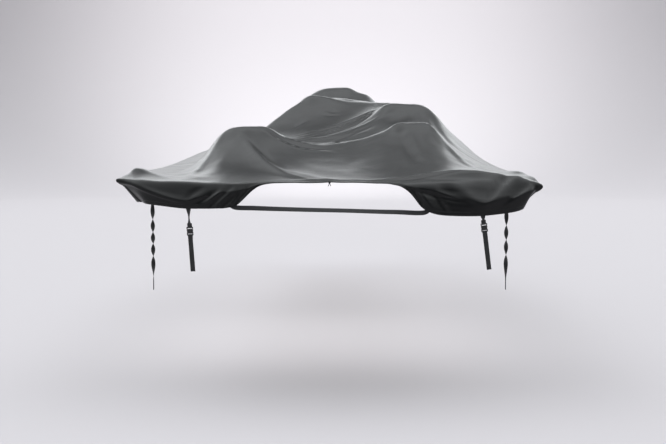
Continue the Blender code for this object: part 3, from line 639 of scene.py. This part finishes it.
print("cover: making the mesh")
vertices = (points.reshape(-1, 3) - np.array(boatDatum)).tolist()
faces = []
for row in range(rows - 1):
    for column in range(columns - 1):
        first = row * columns + column
        faces.append((first, first + 1, first + columns + 1, first + columns))
coverMesh = bpy.data.meshes.new("cover_sheet")
coverMesh.from_pydata(vertices, [], faces)
cover = placed("cover_sheet", coverMesh)
uvLayer = coverMesh.uv_layers.new(name="cloth_metres")
loopVertices = np.zeros(len(coverMesh.loops), int)
coverMesh.loops.foreach_get("vertex_index", loopVertices)
uvValues = np.stack((sheetU.ravel()[loopVertices], sheetV.ravel()[loopVertices]), axis=1)
uvLayer.data.foreach_set("uv", uvValues.ravel().astype(np.float32))
hemAttribute = coverMesh.attributes.new("from_hem", "FLOAT", "POINT")
hemAttribute.data.foreach_set("value", fromHem.ravel().astype(np.float32))
coverMesh.shade_smooth()
# The sheet has its full thickness at the hem, where it is turned up double.
hemGroup = cover.vertex_groups.new(name="hem")
for index, distance in enumerate(fromHem.ravel()):
    hemGroup.add([index], 1.0 if distance < cloth["hemWidth"] else 0.0, "REPLACE")
applied(cover, "thickness", "SOLIDIFY", thickness=cloth["thickness"], offset=-1, vertex_group="hem",
        thickness_vertex_group=cloth["singleLayer"])

# Woven 600-denier polyester, coated on the back: a satin black that turns pale grey only where it is seen
# edge-on against the light. Soft clouds keep the black from being even.
weave = {
    "clouds": ((0.35, "#0a0b0c"), (0.7, "#0e0f10")), "pitch": 0.004, "height": 0.00008,
    "crumpleScale": 7, "crumpleHeight": 0.0035,
    "seamFromHem": 0.021, "seamWidth": 0.004, "seamDepth": 0.0012, "stitch": 0.009,
}
polyester, tree, shader = newMaterial(
    "woven_coated_polyester_black", Roughness=0.32, IOR=1.31,
    **{"Sheen Weight": 0.03, "Sheen Roughness": 0.5, "Sheen Tint": hexColour("#cfd2d6")},
)
place = addNode(tree, "ShaderNodeTexCoord")
cloud = addNode(tree, "ShaderNodeTexNoise", values={"Scale": 3.0, "Detail": 4.0},
                links={"Vector": (place, "Object")})
tone = addNode(tree, "ShaderNodeValToRGB", links={"Fac": (cloud, "Fac")})
for element, (position, colour) in zip(tone.color_ramp.elements, weave["clouds"]):
    element.position = position
    element.color = hexColour(colour)

# The weave's threads lie 0.5 mm apart, which would not show, so they are drawn at 4 mm.
flat = addNode(tree, "ShaderNodeUVMap", {"uv_map": "cloth_metres"})
threads = []
for direction in ("X", "Y"):
    threads.append(addNode(tree, "ShaderNodeTexWave", {"wave_type": "BANDS", "bands_direction": direction},
                           {"Scale": bandScale(weave["pitch"])}, {"Vector": (flat, "UV")}))
crossed = addNode(tree, "ShaderNodeMath", {"operation": "MULTIPLY"},
                  links={0: (threads[0], "Fac"), 1: (threads[1], "Fac")})
weaveBump = addNode(tree, "ShaderNodeBump", values={"Strength": 1.0, "Distance": weave["height"]},
                    links={"Height": (crossed, "Value")})

# The hem is turned up and sewn: a row of stitches sinks a little into the cloth along it. A real stitch is
# about 4 mm long, and they are drawn at 9 mm to show.
hemWay = addNode(tree, "ShaderNodeAttribute", {"attribute_name": "from_hem"})
seamGap = addNode(tree, "ShaderNodeMath", {"operation": "SUBTRACT"}, {1: weave["seamFromHem"]},
                  {0: (hemWay, "Fac")})
seamNear = addNode(tree, "ShaderNodeMath", {"operation": "ABSOLUTE"}, links={0: (seamGap, "Value")})
seamLine = addNode(tree, "ShaderNodeMapRange", {"interpolation_type": "SMOOTHSTEP"},
                   {"From Min": 0.0, "From Max": weave["seamWidth"], "To Min": 1.0, "To Max": 0.0},
                   {"Value": (seamNear, "Value")})
flatSplit = addNode(tree, "ShaderNodeSeparateXYZ", links={"Vector": (flat, "UV")})
hemRun = addNode(tree, "ShaderNodeMath", {"operation": "ADD"},
                 links={0: (flatSplit, "X"), 1: (flatSplit, "Y")})
hemPhase = addNode(tree, "ShaderNodeMath", {"operation": "MULTIPLY"}, {1: 2 * math.pi / weave["stitch"]},
                   {0: (hemRun, "Value")})
hemWave = addNode(tree, "ShaderNodeMath", {"operation": "SINE"}, links={0: (hemPhase, "Value")})
stitch = addNode(tree, "ShaderNodeMapRange", values={"From Min": -0.6, "From Max": 0.2, "To Min": 0.35},
                 links={"Value": (hemWave, "Value")})
seam = addNode(tree, "ShaderNodeMath", {"operation": "MULTIPLY"},
               links={0: (seamLine, "Result"), 1: (stitch, "Result")})
seamBump = addNode(tree, "ShaderNodeBump", {"invert": True},
                   {"Strength": 1.0, "Distance": weave["seamDepth"]},
                   {"Height": (seam, "Value"), "Normal": (weaveBump, "Normal")})

# Faint crumples from when it lay folded, about 14 cm apart.
crumple = addNode(tree, "ShaderNodeTexNoise", links={"Vector": (place, "Object")}, values={
    "Scale": weave["crumpleScale"], "Detail": 3.0, "Roughness": 0.45, "Distortion": 0.6})
crumpleBump = addNode(tree, "ShaderNodeBump", values={"Strength": 0.5, "Distance": weave["crumpleHeight"]},
                      links={"Height": (crumple, "Fac"), "Normal": (seamBump, "Normal")})
tree.links.new(tone.outputs["Color"], shader.inputs["Base Color"])
tree.links.new(crumpleBump.outputs["Normal"], shader.inputs["Normal"])
cover.data.materials.append(polyester)
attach(cover, "root")
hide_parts("cover_cloth")


# The webbing: 25 mm wide, sewn inside the skirt from sewnDepth down to the hem, a little behind its gathers,
# and looped round the buckles' bars. The turns are in degrees.
webbing = {
    "width": 0.025, "thickness": 0.002, "edge": 0.0006, "acrossCells": 6, "step": 0.004, "flatEnd": 0.05,
    "sewnDepth": 0.80, "seamRoom": 0.0035, "nearAcross": 0.008, "nearDown": 0.05,
    "tabTurn": 70, "rearTurn": 7, "loopRadius": 0.0036, "loopTurn": 30, "loopLength": 0.022,
    "loopSteps": 5, "loopClosed": 1.2, "ribPitch": 0.003, "ribHeight": 0.0004,
}
# Where each strap is sewn to the hem, how low its buckle and its end hang, and the side straps' twists.
rearTies = (
    {"side": "port", "across": -0.658, "buckleZ": -0.222, "foot": (-0.727, -0.010, -0.440)},
    {"side": "starboard", "across": 0.705, "buckleZ": -0.203, "foot": (0.850, -0.010, -0.430)},
)
sideTies = (
    {"side": "port", "mirror": -1, "along": 0.2649, "footZ": -0.660, "turns": 2.5},
    {"side": "starboard", "mirror": 1, "along": 0.2649, "footZ": -0.660, "turns": 2.0},
)
# The transom strap from port to starboard: where each end is sewn inside its flap, by across and depth, and
# between them its places and how far its face is tipped.
transomSeams = (((-0.563, 0.78), (-0.53, 0.79), (-0.50, 0.80), (-0.47, 0.80)),
                ((0.47, 0.83), (0.50, 0.84), (0.53, 0.83), (0.563, 0.82)))
transomStrap = (
    (-0.500, -0.028, -0.096, 0), (-0.400, -0.032, -0.100, 14), (-0.280, -0.035, -0.104, 28),
    (-0.100, -0.036, -0.109, 36), (0.080, -0.036, -0.113, 38), (0.240, -0.036, -0.118, 34),
    (0.360, -0.035, -0.121, 24), (0.500, -0.030, -0.124, 0),
)

# Woven polypropylene webbing: duller than the cloth, with ribs across it. They lie 1.2 mm apart and are
# drawn at 3 mm to show.
webbingMaterial, tree, shader = newMaterial("woven_polypropylene_webbing_black", "#151618", Roughness=0.62)
strapPlace = addNode(tree, "ShaderNodeUVMap", {"uv_map": "strap_metres"})
ribs = addNode(tree, "ShaderNodeTexWave", {"wave_type": "BANDS", "bands_direction": "Y"},
               {"Scale": bandScale(webbing["ribPitch"]), "Distortion": 0.4}, {"Vector": (strapPlace, "UV")})
ribBump = addNode(tree, "ShaderNodeBump", values={"Strength": 1.0, "Distance": webbing["ribHeight"]},
                  links={"Height": (ribs, "Fac")})
tree.links.new(ribBump.outputs["Normal"], shader.inputs["Normal"])

sheetNormals = gridNormals(points)


def sewnInside(column, row):
    # the middle of a strap just inside the sheet, between its columns and rows, and how the sheet faces
    left, below = int(column), int(row)
    place, face = np.zeros(3), np.zeros(3)
    for i in (0, 1):
        for j in (0, 1):
            share = abs(1 - i - (column - left)) * abs(1 - j - (row - below))
            place += share * points[below + j, left + i]
            face += share * sheetNormals[below + j, left + i]
    face = Vector(face).normalized()
    return Vector(place) - face * (cloth["thickness"] + webbing["seamRoom"] + webbing["thickness"] / 2), face


def cellsDown(depth):
    return float(np.interp(depth, cloth["skirtDepths"], range(skirtCells + 1)))


def sewnAstern(across, depth):
    return sewnInside(skirtCells + (across + 1) / 2 * cloth["acrossCells"], skirtCells - cellsDown(depth))


def sewnAside(mirror, along, depth):
    cells = cellsDown(depth)
    column = skirtCells - cells if mirror < 0 else skirtCells + cloth["acrossCells"] + cells
    # just short of the last column, so that there is a cell to lie in
    return sewnInside(min(column, columns - 1.001), skirtCells + along * cloth["alongCells"])


def behindFolds(across, depth):
    # as far in as the innermost of the gathers that the strap's width covers there
    place = sewnAstern(across, depth)[0]
    around = [sewnAstern(across + i * webbing["nearAcross"], min(depth + j * webbing["nearDown"], 1))[0].y
              for i in range(-2, 3) for j in range(-2, 3)]
    return Vector((place.x, max(around), place.z)), aft


def makeStrap(name, route):
    # a flat strap along a route of places and faces
    drawn = [np.array([*place, *face]) for place, face in route]
    cells = webbing["acrossCells"]
    mesh = bpy.data.meshes.new(name)
    vertices, lengths = [], [0.0]
    for i, row in enumerate(drawn):
        ahead = Vector(drawn[min(i + 1, len(drawn) - 1)][:3] - drawn[max(i - 1, 0)][:3])
        side = ahead.cross(Vector(row[3:])).normalized()
        middle = Vector(row[:3]) - boatDatum
        vertices += [middle + side * webbing["width"] * (j / cells - 0.5) for j in range(cells + 1)]
        if i:
            lengths.append(lengths[-1] + float(np.linalg.norm(row[:3] - drawn[i - 1][:3])))
    count = cells + 1
    quads = [(i * count + j, i * count + j + 1, (i + 1) * count + j + 1, (i + 1) * count + j)
             for i in range(len(drawn) - 1) for j in range(cells)]
    mesh.from_pydata(vertices, [], quads)
    uv = mesh.uv_layers.new(name="strap_metres")
    for loop in mesh.loops:
        row, column = divmod(loop.vertex_index, count)
        uv.data[loop.index].uv = (column / cells * webbing["width"], lengths[row])
    strap = placed(name, mesh)
    applied(strap, "thickness", "SOLIDIFY", thickness=webbing["thickness"], offset=0)
    applied(strap, "edges", "BEVEL", width=webbing["edge"], segments=2, limit_method="ANGLE",
            angle_limit=math.radians(50))
    mesh.shade_smooth()
    mesh.materials.append(webbingMaterial)
    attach(strap, "root")
    return strap


def turned(face, axis, degrees):
    return Quaternion(axis, math.radians(degrees)) @ face


def runOf(start, end, turnAt, firstFace=aft, face=aft):
    # a straight run in short steps; its face goes from firstFace to face over the first third, and is turned
    # by turnAt of the share gone
    count = max(2, round((end - start).length / webbing["step"]))
    axis = (end - start).normalized()
    run = []
    for i in range(count + 1):
        share = i / count
        facing = firstFace.lerp(face, float(smooth(3 * share)))
        run.append((start.lerp(end, share), turned(facing, axis, turnAt(share))))
    return run


def looped(route):
    # carries a strap's end round the buckle's bar and a short way back behind itself
    place, face = route[-1]
    way = (place - route[-2][0]).normalized()
    radius, steps = webbing["loopRadius"], webbing["loopSteps"]
    middle = place - face * radius
    for degrees in range(webbing["loopTurn"], 181, webbing["loopTurn"]):
        angle = math.radians(degrees)
        outward = face * math.cos(angle) + way * math.sin(angle)
        route.append((middle + outward * radius, outward))
    last, outward = route[-1]
    closing = face * (2 * radius - webbing["loopClosed"] * webbing["thickness"])
    back = way * webbing["loopLength"]
    return route + [(last - back * i / steps + closing * i / steps, outward) for i in range(1, steps + 1)]


# Side-release buckles: a body, a plug whose two springs show in the body's side windows, and a bar at each
# end. Each block is given by its size and its place.
buckle = {
    "body": ((0.034, 0.010, 0.020), (0, 0, -0.003)), "plug": ((0.030, 0.0085, 0.007), (0, 0, 0.0085)),
    "window": ((0.008, 0.016, 0.010), (0.0170, 0, -0.002)),
    "spring": ((0.0035, 0.006, 0.014), (0.0140, 0, -0.002)),
    "lugs": (((0.004, 0.0075, 0.012), (0.0150, 0, 0.017)), ((0.004, 0.0075, 0.012), (0.0150, 0, -0.017))),
    "edge": 0.0009, "panelInset": 0.0035, "panelDepth": 0.0008,
    "barReach": 0.0205, "barRadius": 0.002, "barLength": 0.030, "barCorners": 20,
    "grainScale": 1500, "grainHeight": 0.0001,
}

# Acetal, moulded with a fine grain, about 0.7 mm across, that keeps its highlights soft.
acetal, tree, shader = newMaterial("moulded_acetal_black", "#121315", Roughness=0.38, IOR=1.48)
grainPlace = addNode(tree, "ShaderNodeTexCoord")
grain = addNode(tree, "ShaderNodeTexNoise", values={"Scale": buckle["grainScale"], "Detail": 1.0},
                links={"Vector": (grainPlace, "Object")})
grainBump = addNode(tree, "ShaderNodeBump", values={"Strength": 0.6, "Distance": buckle["grainHeight"]},
                    links={"Height": (grain, "Fac")})
tree.links.new(grainBump.outputs["Normal"], shader.inputs["Normal"])


def addBlock(size, place, mirror=1):
    bpy.ops.mesh.primitive_cube_add(size=1, location=(mirror * place[0], place[1], place[2]))
    block = bpy.context.object
    block.scale = size
    bpy.ops.object.transform_apply(location=True, rotation=False, scale=True)
    return block


def makeBuckle(name, centre, upward):
    body = addBlock(*buckle["body"])
    bpy.ops.object.mode_set(mode="EDIT")
    bpy.ops.mesh.select_mode(type="FACE")
    bpy.ops.mesh.select_all(action="DESELECT")
    bpy.ops.object.mode_set(mode="OBJECT")
    for polygon in body.data.polygons:
        polygon.select = abs(polygon.normal.y) > 0.9
    bpy.ops.object.mode_set(mode="EDIT")
    bpy.ops.mesh.inset(thickness=buckle["panelInset"], depth=-buckle["panelDepth"], use_individual=True)
    bpy.ops.object.mode_set(mode="OBJECT")
    for mirror in (-1, 1):
        cutter = addBlock(*buckle["window"], mirror)
        applied(body, "window", "BOOLEAN", operation="DIFFERENCE", object=cutter)
        bpy.data.objects.remove(cutter)
    pieces = [body, addBlock(*buckle["plug"])]
    for mirror in (-1, 1):
        pieces.append(addBlock(*buckle["spring"], mirror))
        for lug in buckle["lugs"]:
            pieces.append(addBlock(*lug, mirror))
    for piece in pieces:
        applied(piece, "edges", "BEVEL", width=buckle["edge"], segments=3, limit_method="ANGLE")
    for height in (-buckle["barReach"], buckle["barReach"]):
        bpy.ops.mesh.primitive_cylinder_add(
            vertices=buckle["barCorners"], radius=buckle["barRadius"], depth=buckle["barLength"],
            location=(0, 0, height), rotation=(0, math.radians(90), 0))
        pieces.append(bpy.context.object)
    bpy.ops.object.select_all(action="DESELECT")
    for piece in pieces:
        piece.select_set(True)
    bpy.context.view_layer.objects.active = body
    bpy.ops.object.join()
    whole = bpy.context.object
    whole.name = whole.data.name = name
    sideways = upward.cross(aft).normalized()
    turn = Matrix((sideways, upward.cross(sideways), upward)).transposed()
    whole.matrix_world = Matrix.Translation(centre - boatDatum) @ turn.to_4x4()
    bpy.ops.object.transform_apply(location=True, rotation=True, scale=True)
    bpy.ops.object.shade_smooth_by_angle(angle=math.radians(35))
    whole.data.materials.append(acetal)
    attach(whole, "root")
    return whole


print("straps: laying the webbing")
for tie in rearTies:
    sewnTop, topFace = sewnAstern(tie["across"], webbing["sewnDepth"])
    sewnFoot, footFace = sewnAstern(tie["across"], 1.0)
    foot = Vector(tie["foot"])
    run = foot - sewnFoot
    centre = sewnFoot + run * ((tie["buckleZ"] - sewnFoot.z) / run.z)
    upward = -run.normalized()
    outward = (aft - upward * aft.dot(upward)).normalized()
    ahead = outward * webbing["loopRadius"]
    tab = runOf(sewnTop, sewnFoot, lambda share: 0, topFace, footFace)[:-1]
    tab += runOf(sewnFoot, centre + upward * buckle["barReach"] + ahead,
                 lambda share: webbing["tabTurn"] * math.sin(math.pi * share), footFace, outward)
    strap = runOf(foot, centre - upward * buckle["barReach"] + ahead,
                  lambda share: webbing["rearTurn"] * math.sin(2 * math.pi * share), outward, outward)
    for name, route in (("tab_", tab), ("strap_rear_", strap)):
        piece = makeStrap(name + tie["side"] + "_webbing", looped(route))
        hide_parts(name + tie["side"])
    piece = makeBuckle("buckle_" + tie["side"] + "_acetal", centre, upward)
    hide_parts("buckle_" + tie["side"])

for tie in sideTies:
    sewnTop, topFace = sewnAside(tie["mirror"], tie["along"], webbing["sewnDepth"])
    sewnFoot, footFace = sewnAside(tie["mirror"], tie["along"], 1.0)
    outward = Vector((tie["mirror"], 0, 0))
    below = Vector((sewnFoot.x, sewnFoot.y, tie["footZ"]))
    route = runOf(sewnTop, sewnFoot, lambda share: 0, topFace, footFace)[:-1]
    route += runOf(sewnFoot, below + up * webbing["flatEnd"],
                   lambda share: 360 * tie["turns"] * float(smooth(share)), footFace, outward)
    lastFace = route[-1][1]
    route += runOf(route[-1][0], below, lambda share: 0, lastFace, lastFace)[1:]
    piece = makeStrap("strap_side_" + tie["side"] + "_webbing", route)
    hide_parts("strap_side_" + tie["side"])

sewnEnds = [[behindFolds(*seam) for seam in seams] for seams in transomSeams]
between = [((x, y, z), turned(aft, Vector((-1, 0, 0)), tip)) for x, y, z, tip in transomStrap]
stops = [[*place, *face] for place, face in sewnEnds[0] + between + sewnEnds[1]]
route = [(Vector(stop[:3]), Vector(stop[3:]).normalized()) for stop in curveThrough(stops, 12)]
piece = makeStrap("strap_transom_webbing", route)
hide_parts("strap_transom")

# The hem's cord comes out at the middle of the stern and is knotted there, with its two ends hanging.
print("cord: tying the knot")
knot = {
    "size": 0.0024, "depthShare": 1.2, "cordRadius": 0.0018, "steps": 48, "setOut": 0.0093,
    "tail": 0.016, "tailSteps": 5, "tailFrom": (0.002, -0.004), "spread": 0.006, "apart": 0.001,
    "braidPitch": 0.0015, "braidHeight": 0.0003,
}
knotPlace = Vector(points[0, columns // 2]) + aft * knot["setOut"] - boatDatum
cordCurve = bpy.data.curves.new("hem_knot_cord", "CURVE")
cordCurve.dimensions = "3D"
cordCurve.bevel_depth = knot["cordRadius"]
cordCurve.bevel_resolution = 3
cordCurve.use_fill_caps = True
knotLines = [[]]
for i in range(knot["steps"]):
    angle = 2 * math.pi * i / knot["steps"]
    turn = (math.sin(angle) + 2 * math.sin(2 * angle), -knot["depthShare"] * math.sin(3 * angle),
            math.cos(angle) - 2 * math.cos(2 * angle))
    knotLines[0].append(knotPlace + knot["size"] * Vector(turn))
for mirror in (-1, 1):
    start = knotPlace + Vector((mirror * knot["tailFrom"][0], 0, knot["tailFrom"][1]))
    tail = []
    for i in range(knot["tailSteps"] + 1):
        share = i / knot["tailSteps"]
        fall = (mirror * knot["spread"] * share * share, mirror * knot["apart"], -knot["tail"] * share)
        tail.append(start + Vector(fall))
    knotLines.append(tail)
for line in knotLines:
    spline = cordCurve.splines.new("POLY")
    spline.points.add(len(line) - 1)
    for point, place in zip(spline.points, line):
        point.co = (*place, 1)
    spline.use_cyclic_u = line is knotLines[0]
bpy.ops.object.select_all(action="DESELECT")
placed("hem_knot_cord", cordCurve).select_set(True)
bpy.ops.object.convert(target="MESH")
cordKnot = bpy.context.object
cordKnot.data.shade_smooth()

# Braided polyester cord, dull black, with the braid's 1.5 mm steps at their real size.
braid, tree, shader = newMaterial("braided_polyester_cord_black", "#17181a", Roughness=0.75)
braidPlace = addNode(tree, "ShaderNodeTexCoord")
braidWave = addNode(tree, "ShaderNodeTexWave", {"wave_type": "BANDS", "bands_direction": "DIAGONAL"},
                    {"Scale": bandScale(knot["braidPitch"])}, {"Vector": (braidPlace, "Object")})
braidBump = addNode(tree, "ShaderNodeBump", values={"Strength": 0.8, "Distance": knot["braidHeight"]},
                    links={"Height": (braidWave, "Fac")})
tree.links.new(braidBump.outputs["Normal"], shader.inputs["Normal"])
cordKnot.data.materials.append(braid)
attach(cordKnot, "root")
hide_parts("hem_knot")

# A round studio: a pale floor that curves up into a low wall, under a soft dome of light. Ahead of the bow
# the dome is bright low down and overhead, with a dark band between, and behind the camera it is dark. A
# lamp is given by its place, its two turns in degrees, its size and its power.
studio = {
    "floorHeight": -1.72, "radius": 17, "wallHeight": 4.5, "sweep": 4.0, "sweepSteps": 16, "corners": 96,
    "skyByHeight": ((0.0, 0.9), (0.1, 1.7), (0.26, 2.45), (0.34, 1.5), (0.43, 0.2), (0.54, 0.05),
                    (0.66, 0.55), (0.76, 1.5), (0.88, 1.7), (1.0, 1.4)),
    "skyPower": 1.5, "skyWay": (0, 0.8, 0.8), "skyFrom": -0.15, "skyTo": 0.85,
    "ambient": 0.03, "sideFrom": 0.10, "sideTo": 0.55, "sidePower": 0.8,
    "portFrom": -0.08, "portTo": -0.5, "portPower": 0.6,
    "lamps": (((0, 12, 8), 20, 0, 14, 320), ((-11, -1, 1.5), 0, -75, 6, 75), ((11, -1, 1.5), 0, 75, 6, 75),
              ((0, -1.05, -0.85), 0, 0, 2, 22), ((0, 1.15, -0.85), 0, 0, 2, 15)),
    "glowPlace": (0, 9, 3.5), "glowPower": 3000, "glowTilt": 82, "glowAngle": 110, "glowSize": 1.0,
}
print("studio: setting up the floor, sky and lamps")
bpy.ops.mesh.primitive_circle_add(vertices=studio["corners"], radius=studio["radius"], fill_type="NGON",
                                  location=(0, 0, studio["floorHeight"]))
floor = bpy.context.object
floor.name = "studio_floor"
bpy.ops.object.mode_set(mode="EDIT")
bpy.ops.mesh.select_mode(type="EDGE")
bpy.ops.mesh.extrude_edges_move(TRANSFORM_OT_translate={"value": (0, 0, studio["wallHeight"])})
bpy.ops.object.mode_set(mode="OBJECT")
applied(floor, "sweep", "BEVEL", width=studio["sweep"], segments=studio["sweepSteps"], limit_method="ANGLE",
        angle_limit=math.radians(60))
floor.data.shade_smooth()
paper, tree, shader = newMaterial("matt_backdrop_paper", "#afacaf", Roughness=0.9)
floor.data.materials.append(paper)

world = bpy.data.worlds.new("studio")
world.use_nodes = True
bpy.context.scene.world = world
tree = world.node_tree
way = addNode(tree, "ShaderNodeTexCoord")
split = addNode(tree, "ShaderNodeSeparateXYZ", links={"Vector": (way, "Generated")})
byHeight = addNode(tree, "ShaderNodeValToRGB", links={"Fac": (split, "Z")})
byHeight.color_ramp.interpolation = "EASE"
for position, value in studio["skyByHeight"][1:-1]:
    byHeight.color_ramp.elements.new(position)
for element, (position, value) in zip(byHeight.color_ramp.elements, studio["skyByHeight"]):
    element.position = position
    element.color = (value, value, value, 1)
upAhead = addNode(tree, "ShaderNodeVectorMath", {"operation": "DOT_PRODUCT"}, {1: studio["skyWay"]},
                  {0: (way, "Generated")})
ahead = addNode(tree, "ShaderNodeMapRange", {"interpolation_type": "SMOOTHSTEP"},
                {"From Min": studio["skyFrom"], "From Max": studio["skyTo"]}, {"Value": (upAhead, "Value")})
sky = addNode(tree, "ShaderNodeMath", {"operation": "MULTIPLY"},
              links={0: (byHeight, "Color"), 1: (ahead, "Result")})
aside = addNode(tree, "ShaderNodeMath", {"operation": "ABSOLUTE"}, links={0: (split, "X")})
sides = addNode(tree, "ShaderNodeMapRange", {"interpolation_type": "SMOOTHSTEP"},
                {"From Min": studio["sideFrom"], "From Max": studio["sideTo"], "To Min": studio["ambient"],
                 "To Max": studio["sidePower"]}, {"Value": (aside, "Value")})
port = addNode(tree, "ShaderNodeMapRange", {"interpolation_type": "SMOOTHSTEP"},
               {"From Min": studio["portTo"], "From Max": studio["portFrom"], "To Min": studio["portPower"],
                "To Max": 0.0}, {"Value": (split, "X")})
bothSides = addNode(tree, "ShaderNodeMath", {"operation": "ADD"},
                    links={0: (sides, "Result"), 1: (port, "Result")})
strength = addNode(tree, "ShaderNodeMath", {"operation": "MULTIPLY_ADD"},
                   {1: studio["skyPower"]}, {0: (sky, "Value"), 2: (bothSides, "Value")})
tree.links.new(strength.outputs["Value"], tree.nodes["Background"].inputs["Strength"])
tree.nodes["Background"].inputs["Color"].default_value = hexColour("#f3f6f8")

# Lamps for the paper: left out of reflections, so that they draw no shapes on the satin cloth. Three light
# the wall and the floor round the cover, and two under it take its shadow off the floor. The last one is a
# glow on the wall ahead of the bow.
for place, tilt, lean, size, power in studio["lamps"]:
    rotation = (math.radians(tilt), math.radians(lean), 0)
    bpy.ops.object.light_add(type="AREA", location=place, rotation=rotation)
    lamp = bpy.context.object
    lamp.data.size = size
    lamp.data.energy = power
    lamp.visible_glossy = False
bpy.ops.object.light_add(type="SPOT", location=studio["glowPlace"],
                         rotation=(math.radians(studio["glowTilt"]), 0, 0))
glow = bpy.context.object
glow.data.energy = studio["glowPower"]
glow.data.spot_size = math.radians(studio["glowAngle"])
glow.data.spot_blend = 1.0
glow.data.shadow_soft_size = studio["glowSize"]
glow.visible_glossy = False
bpy.context.scene.view_settings.view_transform = "Standard"
